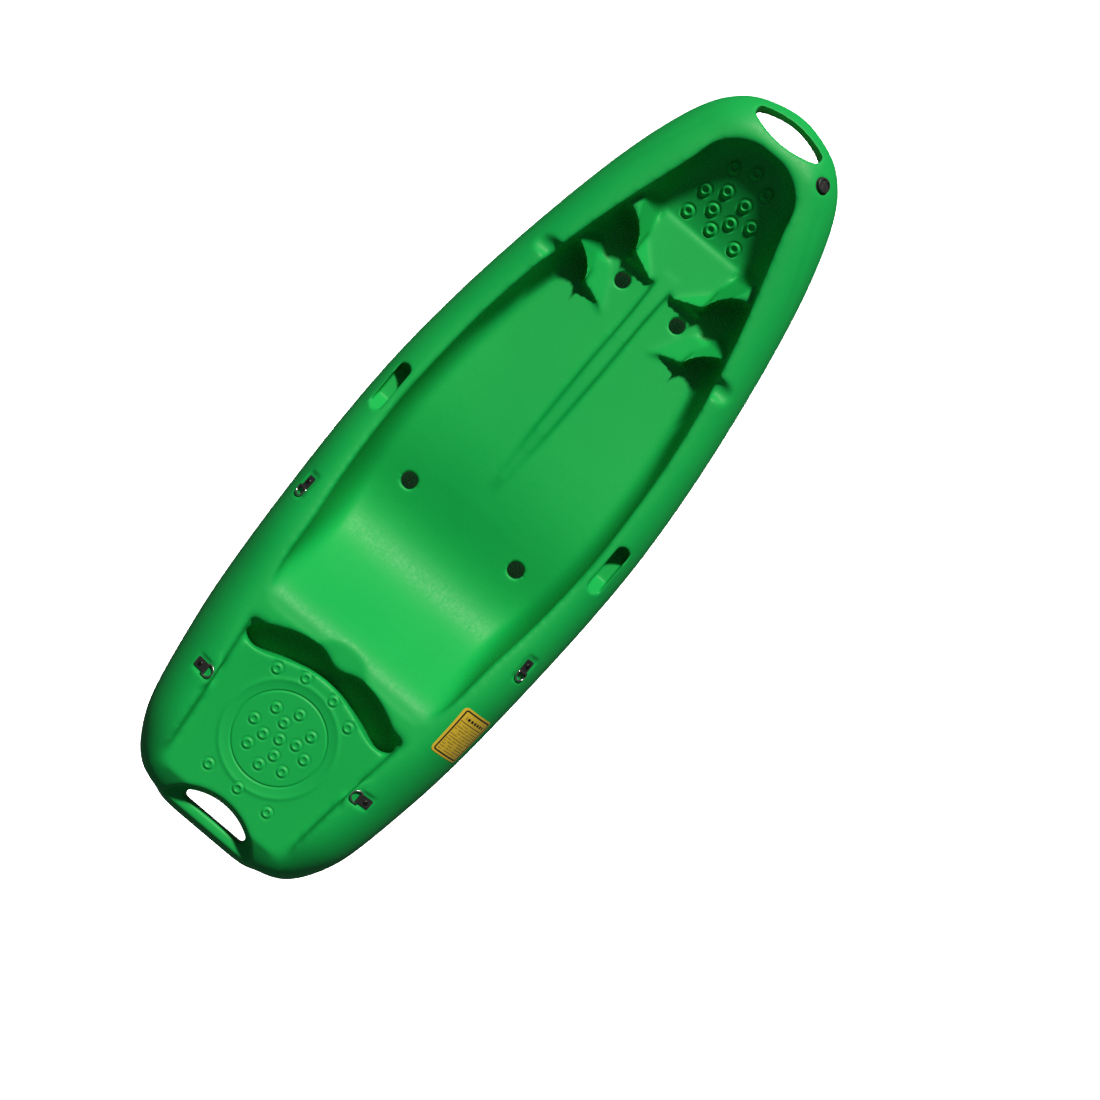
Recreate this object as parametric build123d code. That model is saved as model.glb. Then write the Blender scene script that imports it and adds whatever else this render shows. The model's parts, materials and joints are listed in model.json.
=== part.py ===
from build123d import *
import math
import os

# ---------------------------------------------------------------- driving sizes, mm
LENGTH = 1860.0  # bow to stern
BEAM = 646.0  # greatest width
HEIGHT = 260.0  # bottom to the highest point of the gunwale
WALL = 3.0  # moulded polyethylene wall

DRAWN_LENGTH = 1860.0  # the station tables below are drawn at these three sizes
DRAWN_BEAM = 646.0
DRAWN_HEIGHT = 260.0
SX = LENGTH / DRAWN_LENGTH
SY = BEAM / DRAWN_BEAM
SZ = HEIGHT / DRAWN_HEIGHT

FIT = 0.05  # bonded or moulded-in pieces
CLEAR = 0.3  # loose or turning pieces

SCUPPER_SEAT_D = 36.0
SCUPPER_FOOT_D = 34.0
SEAT_SCUPPER = (-123.0, 141.0)
FOOT_SCUPPER = (464.0, 72.0)

STERN_ARC_X = -988.0  # centre of the round stern recess
STERN_ARC_TOP = 158.0
STERN_ARC_FOOT = 135.0
STERN_FLOOR = 166.0  # top of the stern grab bar
STERN_BAR_UNDER = 122.0
STERN_BAR = 38.0  # fore-and-aft width of the stern grab bar
STERN_END = -930.0
STERN_SLOT_HALF = 76.0

BOW_SLOT_AFT = 853.0
BOW_SLOT_FORE = 907.0
BOW_SLOT_HALF = 80.0
BOW_SLOT_END = 18.0  # how far the slot's long sides bow outwards

GRIP_AFT = -60.0
GRIP_FORE = 52.0
GRIP_IN = 268.0
GRIP_WIDTH = 29.0
GRIP_FLOOR = 160.0
GRIP_RAMP = 34.0

LUMBAR_R = 140.0  # hollow across the top of the backrest
LUMBAR_DEEP = 13.0
LUMBAR_X = (-505.0, -428.0)

PADDLE_X = 408.0
PADDLE_R = 21.0
PADDLE_DEEP = 17.0

DECK_Z = 236.0  # rear deck height behind the backrest
DECK_FALL = 0.07  # how the rear deck falls towards the stern
TROUGH_FLOOR = 190.0

KNOB_D = 24.0
KNOB_HIGH = 2.2
KNOB_EYE = 5.0  # radius of the dimple in each knob
DISC = (-676.0, 0.0)
GROOVE_R = 98.0
GROOVE_HALF = 8.0
GROOVE_DEEP = 2.0

# fittings
WIRE_R = 1.75  # D-ring wire
RING_HALF = 12.5  # half the width of a D-ring between wire centres
RING_LEG = 6.0
RING_CORNER = 3.0
TAB_HALF = 10.0
TAB_THICK = 2.5
TAB_BACK = 12.0
TAB_WRAP = 1.8
SCREW_R = 2.5
SCREW_HEAD_R = 4.6
SCREW_HEAD_H = 2.6
SCREW_LONG = 14.0
INSERT_R = 4.2
INSERT_LONG = 13.0
BOSS_WALL = 3.5
POCKET_DEEP = 3.5
POCKET_HALF = 18.0
POCKET_BACK = 22.0
POCKET_REACH = 40.0
MID_RING = (-250.0, 283.0)
REAR_RING = (-658.0, 212.0)

DRAIN_AT = (846.0, -116.0)
DRAIN_BORE_R = 10.0
DRAIN_SHANK_LONG = 12.0
DRAIN_BARREL_WALL = 3.0
DRAIN_BARREL_LONG = 15.0
DRAIN_FLANGE_R = 17.5
DRAIN_FLANGE_H = 2.0
DRAIN_HEAD_R = 15.5
DRAIN_HEAD_H = 5.0
DRAIN_SEAT_DEEP = 4.0
GASKET_H = 1.5
GASKET_WIDE = 4.0

LABEL_LONG = 110.0
LABEL_CHORD = 94.0
LABEL_X = -440.0
LABEL_TOP_Y = 240.0
LABEL_TILT = 50.0  # the label's chord from level
LABEL_THICK = 0.3
LABEL_CORNER = 10.0

# ---------------------------------------------------------------- station tables (x, value)
HALF_BEAM = [
    (-930, 104), (-921, 130), (-912, 155), (-898, 184), (-875, 208), (-845, 228), (-800, 249),
    (-744, 264), (-651, 281), (-558, 295), (-418, 308), (-279, 316), (-139, 321.5), (-46, 323),
    (46, 321), (139, 315), (232, 306), (325, 294.5), (418, 280), (511, 264), (604, 245),
    (697, 222), (744, 207), (790, 190), (837, 167), (866, 146), (888, 124), (906, 98), (919, 66),
    (927, 36), (930, 16),
]
KEEL = [
    (-930, 92), (-921, 80), (-912, 62), (-898, 42), (-875, 31), (-845, 27), (-744, 20),
    (-558, 13), (-372, 7), (-250, 0), (-100, -1), (150, -1), (300, 0), (465, 7), (558, 10),
    (651, 20), (697, 29), (744, 41), (790, 56), (837, 78), (866, 106), (888, 128), (906, 153),
    (919, 164), (927, 169), (930, 171),
]
FLAT_HALF = [
    (-930, 60), (-898, 110), (-845, 140), (-744, 155), (-558, 165), (-279, 170), (0, 172),
    (279, 160), (558, 125), (697, 92), (790, 62), (866, 34), (906, 16), (930, 4),
]
SEAM = [
    (-930, 112), (-898, 116), (-845, 122), (-700, 128), (-400, 128), (0, 122), (300, 128),
    (558, 138), (744, 152), (837, 166), (888, 176), (919, 180), (930, 181),
]
TOP = [
    (-930, 130), (-921, 150), (-912, 168), (-898, 186), (-875, 204), (-845, 222), (-800, 242),
    (-744, 254), (-651, 258), (-558, 260), (-465, 258), (-418, 257), (-372, 254), (-279, 242),
    (-186, 228), (-93, 217), (0, 212), (93, 212), (186, 212), (279, 215), (372, 220),
    (465, 226), (558, 231), (651, 238), (744, 246), (790, 249), (837, 251), (866, 242),
    (888, 232), (906, 214), (919, 201), (927, 193), (930, 190),
]
CREST_Y = [
    (-930, 50), (-912, 110), (-898, 140), (-875, 156), (-800, 166), (-700, 176), (-550, 197),
    (-400, 226), (-300, 234), (-200, 246), (-100, 254), (0, 257), (100, 252), (200, 247),
    (300, 232), (400, 213), (500, 190), (600, 162), (700, 132), (790, 92), (837, 64),
    (888, 42), (919, 22), (930, 6),
]
# cockpit: inner edge, floor half width and floor height
EDGE_Y = [
    (-478, 196), (-440, 208), (-400, 217), (-300, 226), (-200, 239), (-100, 247), (0, 250),
    (100, 246), (200, 239), (300, 226), (400, 208), (500, 184), (560, 167), (617, 149),
    (684, 127), (747, 109), (768, 103), (785, 92), (799, 78.5), (810, 62.5), (818, 45), (823, 28),
]
FLOOR_HALF = [
    (-478, 150), (-400, 165), (-300, 178), (-200, 190), (-100, 198), (0, 204), (100, 204),
    (200, 198), (300, 184), (400, 164), (500, 140), (600, 112), (640, 98), (700, 80), (747, 64),
    (768, 54), (785, 43), (799, 32), (810, 22), (818, 13), (823, 7),
]
FLOOR_Z = [
    (-478, 255), (-448, 249), (-424, 231), (-395, 200), (-360, 160), (-325, 125), (-285, 92),
    (-240, 71), (-200, 64), (-160, 66), (-123, 74), (-80, 85), (-40, 92), (20, 96), (100, 97),
    (200, 94), (320, 91), (420, 90), (500, 92), (570, 96), (620, 101), (640, 103), (660, 114),
    (700, 139), (747, 169), (768, 182), (785, 193), (799, 202), (810, 209), (818, 214), (823, 217),
]
RIDGE = [
    (-110, 6, 2, 74), (0, 22, 8, 100), (120, 28, 13, 108), (300, 29, 15, 109), (420, 26, 14, 109),
    (530, 34, 17, 108),
]
# footrests, each a lobe: three plan points of its crest, three points of its sloping top,
# bow end x, inner y at the bow end, outer y, highest z
STEPS = [
    ([(382, 60), (397, 90), (407, 131)], [(383, 63, 93), (407, 128, 121), (448, 95, 91)], 472, 96, 142, 125),
    ([(405, 127), (440, 148), (462, 192)], [(428, 138, 142), (452, 168, 167), (510, 160, 92)], 530, 139, 206, 180),
    ([(494, 24), (507, 56), (520, 92)], [(495, 26, 109), (520, 90, 135), (548, 77, 107)], 574, 60, 104, 138),
    ([(518, 89), (556, 110), (579, 156)], [(540, 98, 152), (564, 118, 176), (624, 110, 108)], 632, 96, 172, 188),
]
PLATFORM = (502.0, 640.0, 94.0, 107.0)  # x aft, x fore, half width, top
PLATFORM_RAMP = 16.0
TROUGH_AFT = [(-528, 0), (-535, 50), (-551, 100), (-567, 145), (-566, 172), (-552, 190)]
TROUGH_FORE = [(-498, 0), (-486, 34), (-482, 62), (-488, 98), (-500, 130), (-522, 172)]
DECK_OUTLINE = [(-940, 140), (-900, 150), (-800, 160), (-700, 171), (-600, 183), (-520, 194)]
DISC_KNOBS = [
    (-722, 42), (-676, 63), (-632, 43), (-688, 30), (-645, 12), (-740, -2), (-676, -2),
    (-613, -2), (-708, -14), (-664, -35), (-722, -47), (-632, -47), (-676, -65),
]
DECK_KNOBS = [(-803, 74), (-803, -1), (-803, -76), (-549, 35), (-549, -35), (-571, 91), (-571, -91)]


# ---------------------------------------------------------------- curve helpers
def smooth(table, x):
    """Monotone cubic through a station table, flat beyond its ends."""
    if x <= table[0][0]:
        return float(table[0][1])
    if x >= table[-1][0]:
        return float(table[-1][1])
    n = len(table)
    h = [table[i + 1][0] - table[i][0] for i in range(n - 1)]
    s = [(table[i + 1][1] - table[i][1]) / h[i] for i in range(n - 1)]
    m = [s[0]]
    for i in range(1, n - 1):
        if s[i - 1] * s[i] <= 0:
            m.append(0.0)
        else:
            a = 2 * h[i] + h[i - 1]
            b = h[i] + 2 * h[i - 1]
            m.append((a + b) / (a / s[i - 1] + b / s[i]))
    m.append(s[-1])
    i = max(j for j in range(n - 1) if table[j][0] <= x)
    t = (x - table[i][0]) / h[i]
    a = table[i][1]
    b = table[i + 1][1]
    p = (2 * t**3 - 3 * t**2 + 1) * a + (t**3 - 2 * t**2 + t) * h[i] * m[i]
    return p + (-2 * t**3 + 3 * t**2) * b + (t**3 - t**2) * h[i] * m[i + 1]


BILGE_FULL = 0.60
SHOULDER_FULL = 0.50
COCKPIT_FULL = 0.62


def hull_sizes(x, g):
    """Half beam, keel, flat half width, seam height, top height and crest, moved in by g."""
    b = smooth(HALF_BEAM, x) * SY - g
    k = smooth(KEEL, x) * SZ + g
    f = min(smooth(FLAT_HALF, x) * SY, b - 2.0)
    s = smooth(SEAM, x) * SZ
    t = smooth(TOP, x) * SZ - g
    c = min(smooth(CREST_Y, x) * SY, b - 4.0)
    return b, k, f, s, t, c


def quarter(x, p, q, full, first):
    """Quarter of a rounded section from p to q, leaving p along y when first is 0, else along z."""
    if first == 0:
        a = (p[0] + full * (q[0] - p[0]), p[1])
        b = (q[0], q[1] - full * (q[1] - p[1]))
    else:
        a = (p[0], p[1] + full * (q[1] - p[1]))
        b = (q[0] - full * (q[0] - p[0]), q[1])
    return Bezier((x, p[0], p[1]), (x, a[0], a[1]), (x, b[0], b[1]), (x, q[0], q[1]))


def hull_wire(x, g):
    b, k, f, s, t, c = hull_sizes(x, g)
    xx = x * SX
    right = quarter(xx, (f, k), (b, s), BILGE_FULL, 0)
    over = quarter(xx, (b, s), (c, t), SHOULDER_FULL, 1)
    back = quarter(xx, (-c, t), (-b, s), SHOULDER_FULL, 0)
    left = quarter(xx, (-b, s), (-f, k), BILGE_FULL, 1)
    bottom = Line((xx, -f, k), (xx, f, k))
    top = Line((xx, c, t), (xx, -c, t))
    return Wire([e.edge() for e in (bottom, right, over, top, back, left)])


def shoulder_z(x, y, g=0.0):
    """Height of the hull's shoulder at a drawn x and a real y."""
    b, k, f, s, t, c = hull_sizes(x, g)
    y = abs(y)
    if y <= c:
        return t
    lo = 0.0
    hi = 1.0
    for _ in range(60):
        u = (lo + hi) / 2
        v = 1 - u
        yy = v**3 * b + 3 * v * v * u * b
        yy += 3 * v * u * u * (c + SHOULDER_FULL * (b - c)) + u**3 * c
        if yy > y:
            lo = u
        else:
            hi = u
    u = (lo + hi) / 2
    v = 1 - u
    z = v**3 * s + 3 * v * v * u * (s + SHOULDER_FULL * (t - s))
    return z + 3 * v * u * u * t + u**3 * t


OUTER_X = [
    -930, -921, -912, -898, -875, -845, -800, -744, -651, -558, -465, -372, -279, -186, -93, 0,
    93, 186, 279, 372, 465, 558, 651, 744, 790, 837, 866, 888, 906, 919, 927, 930,
]


def outer(g, first, last):
    """The hull without its cockpit, moved in by g, between two stations."""
    at = [x for x in OUTER_X if first <= x <= last]
    return Solid.make_loft([hull_wire(x, g) for x in at], ruled=False)


def cockpit_wire(x, g):
    e = smooth(EDGE_Y, x) * SY + g
    f = min(smooth(FLOOR_HALF, x) * SY, e - 8.0)
    z = smooth(FLOOR_Z, x) * SZ - g
    t = max(smooth(TOP, x) * SZ - 4.0, z + 6.0)
    up = HEIGHT + 60.0
    xx = x * SX
    right = quarter(xx, (f, z), (e, t), COCKPIT_FULL, 0)
    left = quarter(xx, (-e, t), (-f, z), COCKPIT_FULL, 1)
    floor = Line((xx, -f, z), (xx, f, z))
    rise = Line((xx, e, t), (xx, e + 14.0, up))
    top = Line((xx, e + 14.0, up), (xx, -e - 14.0, up))
    fall = Line((xx, -e - 14.0, up), (xx, -e, t))
    return Wire([q.edge() for q in (floor, right, rise, top, fall, left)])


COCKPIT_X = [
    -478, -450, -424, -395, -360, -325, -285, -240, -190, -100, 0, 100, 200, 300, 400, 500, 560,
    617, 684, 747, 768, 785, 799, 810, 818, 823,
]


def cockpit(g):
    body = Solid.make_loft([cockpit_wire(x, g) for x in COCKPIT_X], ruled=False)
    if g > 0:
        a = cockpit_wire(COCKPIT_X[0], g)
        b = cockpit_wire(COCKPIT_X[-1], g)
        body += extrude(Face(a), amount=g, dir=(-1, 0, 0))
        body += extrude(Face(b), amount=g, dir=(1, 0, 0))
    return body


def xz_prism(points, y0, y1):
    """A prism across the boat from drawn x and real z points."""
    pts = [(x * SX, y0, z) for x, z in points]
    return extrude(Face(Wire.make_polygon([Vector(*p) for p in pts])), amount=y1 - y0, dir=(0, 1, 0))


def xy_prism(points, z0, z1, taper=0.0):
    pts = [Vector(x, y, z0) for x, y in points]
    face = Face(Wire.make_polygon(pts))
    return extrude(face, amount=z1 - z0, dir=(0, 0, 1), taper=taper)


def mirrored(solid):
    return solid.mirror(Plane.XZ)


def lobe_face(crest, bow, inner, outer_y, g):
    """Plan of one footrest lobe: an arc for its crest, moved in by g all round."""
    (x0, y0), (x1, y1), (x2, y2) = [(x * SX, y * SY) for x, y in crest]
    s0 = x0 * x0 + y0 * y0
    s1 = x1 * x1 + y1 * y1
    s2 = x2 * x2 + y2 * y2
    d = 2 * (x0 * (y1 - y2) + x1 * (y2 - y0) + x2 * (y0 - y1))
    cx = (s0 * (y1 - y2) + s1 * (y2 - y0) + s2 * (y0 - y1)) / d
    cy = (s0 * (x2 - x1) + s1 * (x0 - x2) + s2 * (x1 - x0)) / d
    r0 = math.hypot(x0 - cx, y0 - cy)
    r = r0 + g
    fore = bow * SX - g
    side = inner * SY
    ux = x0 - bow * SX
    uy = y0 - side
    run = math.hypot(ux, uy)
    ux /= run
    uy /= run
    px = bow * SX + uy * g
    py = side - ux * g
    # where the moved inner side meets the moved crest
    along = ux * (px - cx) + uy * (py - cy)
    gap = (px - cx) ** 2 + (py - cy) ** 2 - r * r
    t = -along + math.sqrt(along * along - gap)
    u = -along - math.sqrt(along * along - gap)
    hits = [(px + ux * k, py + uy * k) for k in (t, u)]
    tip = min(hits, key=lambda h: math.hypot(h[0] - x0, h[1] - y0))
    end = (cx + (x2 - cx) * r / r0, cy + (y2 - cy) * r / r0)
    a0 = math.atan2(tip[1] - cy, tip[0] - cx)
    a2 = math.atan2(end[1] - cy, end[0] - cx)
    mid = (cx + r * math.cos((a0 + a2) / 2), cy + r * math.sin((a0 + a2) / 2))
    out = outer_y * SY - g
    corner = (fore, py + (fore - px) * uy / ux)
    edge = [ThreePointArc(tip, mid, end), Line(end, (end[0] + 4.0, out))]
    edge += [Line((end[0] + 4.0, out), (fore, out)), Line((fore, out), corner), Line(corner, tip)]
    return make_face(edge)


def step_block(step, g):
    """One lobe of a footrest: a curved crest in plan under a sloping top."""
    crest, top, bow, inner, outer_y, high = step
    face = lobe_face(crest, bow, inner, outer_y, g)
    body = Pos(0, 0, 40.0 * SZ) * extrude(face, amount=high * SZ - g - 40.0 * SZ)
    p = [Vector(x * SX, y * SY, z * SZ) for x, y, z in top]
    up = (p[1] - p[0]).cross(p[2] - p[0]).normalized()
    up = up if up.Z > 0 else up * -1
    above = Box(600, 600, 400, align=(Align.CENTER, Align.CENTER, Align.MIN))
    return body - Plane(origin=p[0] - up * g, z_dir=up) * above


def platform(g):
    x0, x1, half, top = PLATFORM
    deep = 40.0 * SZ
    pts = [(x0 + g, deep), (x1 - g, deep), (x1 - PLATFORM_RAMP - g, top * SZ - g)]
    pts.append((x0 + g, top * SZ - g))
    return xz_prism(pts, -half * SY + g, half * SY - g)


def ridge(g):
    wires = []
    for x, w, c, z in RIDGE:
        base = 55.0 * SZ
        top = z * SZ - g
        pts = [(-w + g, base), (w - g, base), (max(c - g, 1.0), top), (-max(c - g, 1.0), top)]
        wires.append(Wire.make_polygon([Vector(x * SX, y * SY, zz) for y, zz in pts]))
    return Solid.make_loft(wires, ruled=True)


def trough(g):
    """The gap behind the backrest, its end lines carried out by g."""
    aft = [(x * SX - g, y * SY + (g if y else 0)) for x, y in TROUGH_AFT]
    fore = [(x * SX + g, y * SY + (g if y else 0)) for x, y in TROUGH_FORE]
    a = [(x, -y) for x, y in reversed(aft[1:])] + aft
    f = [(x, -y) for x, y in reversed(fore[1:])] + fore
    face = make_face([Spline(*a), Line(a[-1], f[-1]), Spline(*f), Line(a[0], f[0])])
    return Pos(0, 0, TROUGH_FLOOR * SZ - g) * extrude(face, amount=HEIGHT + 60.0)


def deck_cut(g):
    """The rear deck, a sloping plane inside its crease."""
    pts = [(x * SX, y * SY + g) for x, y in DECK_OUTLINE]
    pts[-1] = (pts[-1][0] + g, pts[-1][1])
    pts += [(x, -y) for x, y in reversed(pts)]
    low = 200.0
    prism = Pos(0, 0, low * SZ) * extrude(make_face(Polyline(*pts, close=True)), amount=HEIGHT)
    x0 = -960.0 * SX
    x1 = -510.0 * SX

    def plane_z(x):
        return (DECK_Z - DECK_FALL * (-545.0 - x / SX)) * SZ - g

    prof = [Vector(x0, -400, plane_z(x0)), Vector(x1, -400, plane_z(x1))]
    prof += [Vector(x1, -400, HEIGHT * 2), Vector(x0, -400, HEIGHT * 2)]
    slab = extrude(Face(Wire.make_polygon(prof)), amount=800, dir=(0, 1, 0))
    return prism & slab


def deck_z(x):
    return (DECK_Z - DECK_FALL * (-545.0 - x)) * SZ


def stern_recess(g):
    z0 = STERN_FLOOR * SZ - g
    z1 = HEIGHT + 60.0
    fall = (STERN_ARC_TOP - STERN_ARC_FOOT) / (240.0 - STERN_FLOOR)
    r0 = STERN_ARC_FOOT * SX + g
    r1 = r0 + fall * (z1 - z0)
    tool = Cone(r0, r1, z1 - z0, align=(Align.CENTER, Align.CENTER, Align.MIN))
    return Pos(STERN_ARC_X * SX, 0, z0) * tool


def stern_slot():
    """The opening between the stern bar and the deck."""
    r = STERN_ARC_FOOT * SX
    disc = Pos(STERN_ARC_X * SX, 0) * Circle(r)
    half = STERN_SLOT_HALF * SX
    x0 = STERN_END * SX + STERN_BAR
    band = Pos(x0, 0) * Rectangle(200, 2 * half, align=(Align.MIN, Align.CENTER))
    face = disc & band
    face = fillet(face.vertices(), 7.0)
    return Pos(0, 0, -20) * extrude(face, amount=HEIGHT + 80)


def stern_under(g):
    """Finger room under the stern bar."""
    x1 = -846.0 * SX + g
    wide = 2 * STERN_SLOT_HALF * SX + 30 + 2 * g
    box = Box(140, wide, 200, align=(Align.MAX, Align.CENTER, Align.MAX))
    return Pos(x1, 0, STERN_BAR_UNDER * SZ + g) * box


def bow_slot_face(g):
    a = BOW_SLOT_AFT * SX
    f = BOW_SLOT_FORE * SX
    h = BOW_SLOT_HALF * SY
    e = BOW_SLOT_END
    fore = ThreePointArc((f - e, -h), (f, 0), (f - e, h))
    aft = ThreePointArc((a + e, h), (a, 0), (a + e, -h))
    face = make_face([fore, Line((f - e, h), (a + e, h)), aft, Line((a + e, -h), (f - e, -h))])
    face = fillet(face.vertices(), 7.0)
    return offset(face, g) if g > 0 else face


def bow_slot(g):
    return Pos(0, 0, -20) * extrude(bow_slot_face(g), amount=HEIGHT + 100)


def grip_pocket(side, g):
    z0 = GRIP_FLOOR * SZ - g
    up = HEIGHT + 40.0
    x0 = GRIP_AFT * SX - g
    x1 = GRIP_FORE * SX + g
    y0 = GRIP_IN * SY - g
    y1 = (GRIP_IN * SY + GRIP_WIDTH) + g
    body = Pos((x0 + x1) / 2, (y0 + y1) / 2, z0) * extrude(
        RectangleRounded(x1 - x0, y1 - y0, (y1 - y0) / 2 - 0.5), amount=up - z0
    )
    ramp = [Vector(x0 - 5, y0 - 5, z0 - 5), Vector(x0 + GRIP_RAMP, y0 - 5, z0 - 5)]
    ramp += [Vector(x0 + GRIP_RAMP, y0 - 5, z0), Vector(x0 - 5, y0 - 5, z0 + 48)]
    wedge = extrude(Face(Wire.make_polygon(ramp)), amount=y1 - y0 + 10, dir=(0, 1, 0))
    body = body - wedge
    return body if side > 0 else mirrored(body)


def paddle_rest(g):
    z = smooth(TOP, PADDLE_X) * SZ - PADDLE_DEEP + PADDLE_R
    return Pos(PADDLE_X * SX, 0, z) * Rot(90, 0, 0) * Cylinder(PADDLE_R + g, 800)


def lumbar(g):
    x0 = LUMBAR_X[0] * SX
    x1 = LUMBAR_X[1] * SX
    z = smooth(TOP, -478.0) * SZ - LUMBAR_DEEP + LUMBAR_R
    return Pos((x0 + x1) / 2, 0, z) * Rot(0, 90, 0) * Cylinder(LUMBAR_R + g, x1 - x0 + 2 * g)


def fitting_plane(x, y, side, inboard):
    """Pocket floor at a D-ring: x_dir is the way the ring points, z_dir is outward."""
    yy = y * SY
    if inboard:
        tilt = math.atan2(shoulder_z(x, yy - 16.0) - shoulder_z(x, yy), 16.0)
        drop = (shoulder_z(x + 20.0, yy) - shoulder_z(x - 20.0, yy)) / (40.0 * SX)
    else:
        tilt = math.atan2(shoulder_z(x, yy - 8.0) - shoulder_z(x, yy + 8.0), 16.0)
        drop = (shoulder_z(x + 30.0, yy) - shoulder_z(x - 30.0, yy)) / (60.0 * SX)
    n = Vector(-drop, side * math.sin(tilt) / math.cos(tilt), 1.0).normalized()
    z = shoulder_z(x, yy)
    o = Vector(x * SX, side * yy, z) - n * POCKET_DEEP
    u = Vector(0, -side, 0) if inboard else Vector(-1, 0, 0)
    u = (u - n * u.dot(n)).normalized()
    return Plane(origin=o, x_dir=u, z_dir=n)


RINGS = {
    "mid_port": fitting_plane(MID_RING[0], MID_RING[1], 1, False),
    "mid_starboard": fitting_plane(MID_RING[0], MID_RING[1], -1, False),
    "rear_port": fitting_plane(REAR_RING[0], REAR_RING[1], 1, True),
    "rear_starboard": fitting_plane(REAR_RING[0], REAR_RING[1], -1, True),
}


def drain_plane():
    x, y = DRAIN_AT
    yy = abs(y) * SY
    dx = (shoulder_z(x + 6.0, yy) - shoulder_z(x - 6.0, yy)) / (12.0 * SX)
    dy = (shoulder_z(x, yy + 6.0) - shoulder_z(x, yy - 6.0)) / 12.0
    n = Vector(-dx, dy, 1.0).normalized()
    o = Vector(x * SX, -yy, shoulder_z(x, yy)) - n * DRAIN_SEAT_DEEP
    u = Vector(1, 0, 0)
    u = (u - n * u.dot(n)).normalized()
    return Plane(origin=o, x_dir=u, z_dir=n)


DRAIN = drain_plane()
DRAIN_BARREL_R = DRAIN_BORE_R + DRAIN_BARREL_WALL


def ring_pocket(plane, g):
    long = POCKET_BACK + POCKET_REACH + 2 * g
    face = RectangleRounded(long, 2 * (POCKET_HALF + g), 8.0)
    tool = Pos((POCKET_REACH - POCKET_BACK) / 2, 0, -g) * extrude(face, amount=40.0)
    return plane * tool


def drain_seat(g):
    tool = Pos(0, 0, -g) * Cylinder(
        DRAIN_FLANGE_R + CLEAR + g, 40.0, align=(Align.CENTER, Align.CENTER, Align.MIN)
    )
    return DRAIN * tool


def scupper(at, d, side):
    return Pos(at[0] * SX, side * at[1] * SY, HEIGHT / 2) * Cylinder(d / 2, HEIGHT * 2)


def skin(g):
    """Everything inside the moulding's surface, moved in by g."""
    body = outer(g, -930, 930) if g == 0 else outer(g, -905, 892)
    body -= Pos(0, 0, g) * Box(LENGTH * 2, BEAM * 2, 200, align=(Align.CENTER, Align.CENTER, Align.MAX))
    body -= cockpit(g)
    adds = [platform(g), ridge(g)]
    for step in STEPS:
        block = step_block(step, g)
        adds += [block, mirrored(block)]
    for add in adds:
        body += add
    body -= deck_cut(g)
    body -= trough(g)
    if g == 0:
        body -= stern_recess(0)
        body -= stern_slot()
    else:
        well = Cylinder(STERN_ARC_TOP * SX + g, 900)
        body -= Pos(STERN_ARC_X * SX, 0, 0) * well
    body -= stern_under(g)
    body -= lumbar(g)
    body -= bow_slot(g)
    body -= paddle_rest(g)
    for side in (1, -1):
        body -= grip_pocket(side, g)
        body -= scupper(SEAT_SCUPPER, SCUPPER_SEAT_D + 2 * g, side)
        body -= scupper(FOOT_SCUPPER, SCUPPER_FOOT_D + 2 * g, side)
    for plane in RINGS.values():
        body -= ring_pocket(plane, g)
    body -= drain_seat(g)
    return body


def up_cyl(r, z0, z1):
    return Pos(0, 0, z0) * Cylinder(r, z1 - z0, align=(Align.CENTER, Align.CENTER, Align.MIN))


# ---------------------------------------------------------------- fittings, each in its own frame
BORE_R = WIRE_R + CLEAR
BARREL_R = BORE_R + TAB_WRAP
RING_U = TAB_BACK + BARREL_R + 0.5  # the ring's bar lies this far from the screw
INSERT_TOP = -0.1
SHANK_END = SCREW_LONG - TAB_THICK


def ring_tab():
    length = TAB_BACK + RING_U
    plate = Pos((RING_U - TAB_BACK) / 2, 0, 0) * extrude(
        RectangleRounded(length, 2 * TAB_HALF, 3.0), amount=TAB_THICK
    )
    barrel = Pos(RING_U, 0, BARREL_R) * Rot(90, 0, 0) * Cylinder(BARREL_R, 2 * TAB_HALF)
    neck = Box(BARREL_R + 3, 2 * TAB_HALF, TAB_THICK, align=(Align.MAX, Align.CENTER, Align.MIN))
    body = plate + barrel + Pos(RING_U, 0, 0) * neck
    body -= Pos(RING_U, 0, BARREL_R) * Rot(90, 0, 0) * Cylinder(BORE_R, 4 * TAB_HALF)
    return body - up_cyl(SCREW_R + CLEAR, -5, 10)


def d_ring():
    """Wire ring: a bar through the tab, two legs and a half round."""
    h = RING_HALF
    r = RING_CORNER
    bar = Line((0, -h + r, 0), (0, h - r, 0))
    c1 = ThreePointArc((0, h - r, 0), (r * 0.29289, h - r * 0.29289, 0), (r, h, 0))
    leg1 = Line((r, h, 0), (RING_LEG, h, 0))
    bow = ThreePointArc((RING_LEG, h, 0), (RING_LEG + h, 0, 0), (RING_LEG, -h, 0))
    leg2 = Line((RING_LEG, -h, 0), (r, -h, 0))
    c2 = ThreePointArc((r, -h, 0), (r * 0.29289, -h + r * 0.29289, 0), (0, -h + r, 0))
    path = Wire([e.edge() for e in (bar, c1, leg1, bow, leg2, c2)])
    section = Plane(origin=(0, 0, 0), z_dir=(0, 1, 0)) * Circle(WIRE_R)
    ring = sweep(section, path=path)
    return Pos(RING_U, 0, BARREL_R) * ring


def ring_screw():
    head = Pos(0, 0, TAB_THICK) * extrude(Circle(SCREW_HEAD_R), amount=SCREW_HEAD_H)
    head = fillet(head.edges().group_by(Axis.Z)[-1], SCREW_HEAD_H * 0.6)
    cross = Pos(0, 0, TAB_THICK + SCREW_HEAD_H) * (Box(5.2, 1.1, 3.0) + Box(1.1, 5.2, 3.0))
    shank = up_cyl(SCREW_R, -SHANK_END, TAB_THICK + 0.1)
    return head + shank - cross


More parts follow.
